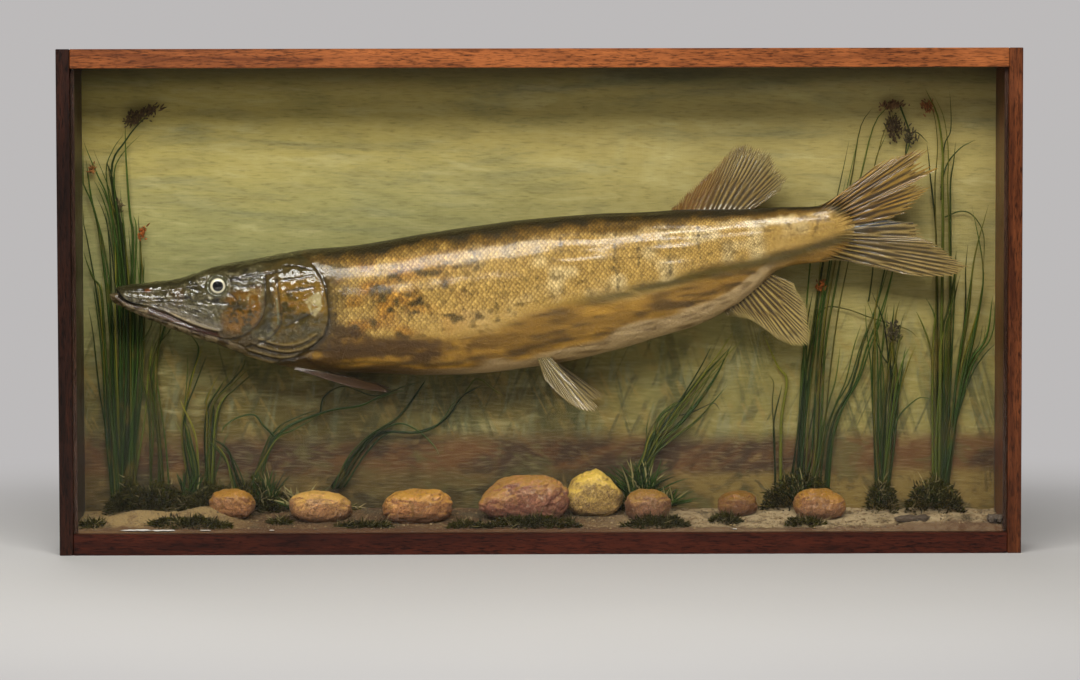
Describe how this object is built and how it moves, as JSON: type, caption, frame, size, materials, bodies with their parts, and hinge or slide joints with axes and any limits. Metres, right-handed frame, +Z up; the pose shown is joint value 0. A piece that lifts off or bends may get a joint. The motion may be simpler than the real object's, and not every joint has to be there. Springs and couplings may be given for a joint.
{
  "type": "cased mounted pike",
  "caption": "Large taxidermy pike, head to the left, in a flat glazed mahogany case with a painted river back, sand, stones, moss and dried reeds.",
  "frame": {"origin": "middle of the underside of the case", "axes": "+X to the viewer's right, towards the tail of the fish; +Y from the glass to the back; +Z up"},
  "size_m": [1.16, 0.14, 0.609],
  "materials": {
    "mahogany": "dark red-brown polished mahogany",
    "mahogany_rail": "orange-brown polished mahogany",
    "painted_back": "board painted with a soft khaki and olive wash",
    "pane": "clear old window glass",
    "sand": "modelled river bed with sand and fine gravel",
    "stone": "painted river stones, pinkish brown to ochre",
    "moss": "dried dark green moss",
    "reed": "dried and painted reeds, sedges and grass",
    "pike_skin": "varnished fish skin, olive back, golden ochre flank",
    "gill_cover": "varnished gill cover, orange brown",
    "fin": "varnished fin, brown and ochre, ribbed by its rays",
    "glass_eye": "glass eye, cream iris and black pupil",
    "peg": "plain softwood"
  },
  "bodies": {
    "root": {"anal_fin": "fin", "backboard": "painted_back", "bead_bottom": "mahogany", "bead_left": "mahogany", "bead_right": "mahogany", "bead_top": "mahogany", "bottom_board": "mahogany", "bottom_rail": "mahogany", "dorsal_fin": "fin", "eye_left": "glass_eye", "eye_right": "glass_eye", "gill_cover_left": "gill_cover", "gill_cover_right": "gill_cover", "glass_front": "pane", "groundwork": "sand", "head": "pike_skin", "lower_jaw": "pike_skin", "moss_1": "moss", "moss_2": "moss", "moss_3": "moss", "moss_4": "moss", "moss_5": "moss", "moss_6": "moss", "moss_7": "moss", "pectoral_fin_left": "fin", "pectoral_fin_right": "fin", "peg_front": "peg", "peg_rear": "peg", "pelvic_fin_left": "fin", "pelvic_fin_right": "fin", "reed_clump_1": "reed", "reed_clump_2": "reed", "reed_clump_3": "reed", "reed_clump_4": "reed", "reed_clump_5": "reed", "reed_clump_6": "reed", "reed_clump_7": "reed", "reed_clump_8": "reed", "reed_clump_9": "reed", "side_board_left": "mahogany", "side_board_right": "mahogany", "stone_1": "stone", "stone_2": "stone", "stone_3": "stone", "stone_4": "stone", "stone_5": "stone", "stone_6": "stone", "stone_7": "stone", "stone_8": "stone", "tail_fin_lower": "fin", "tail_fin_upper": "fin", "tail_stalk": "pike_skin", "throat": "pike_skin", "top_board": "mahogany_rail", "top_rail": "mahogany_rail", "trunk_front": "pike_skin", "trunk_middle": "pike_skin", "trunk_rear": "pike_skin"}
  },
  "joints": []
}
